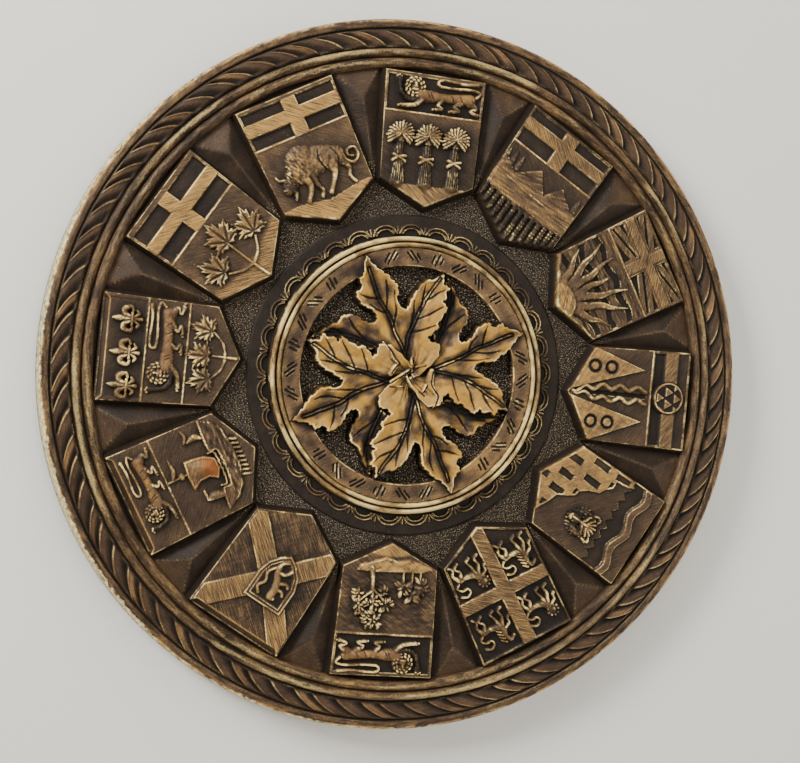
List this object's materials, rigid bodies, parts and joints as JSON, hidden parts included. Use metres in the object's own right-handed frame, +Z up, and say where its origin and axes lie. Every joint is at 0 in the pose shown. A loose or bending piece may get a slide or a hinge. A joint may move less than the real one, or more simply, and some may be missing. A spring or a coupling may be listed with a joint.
{
  "type": "wall plaque",
  "caption": "Round moulded wall plaque: rope rim, heraldic shields set around a medallion of maple leaves, flat back for hanging.",
  "frame": {"origin": "centre of the flat back, where it meets the wall", "axes": "+Z up the wall, the front faces -Y, +X to the viewer's right"},
  "size_m": [0.294, 0.0221, 0.294],
  "materials": {
    "stained_wood": "satin"
  },
  "bodies": {
    "root": {"plaque": "stained_wood"}
  },
  "joints": []
}
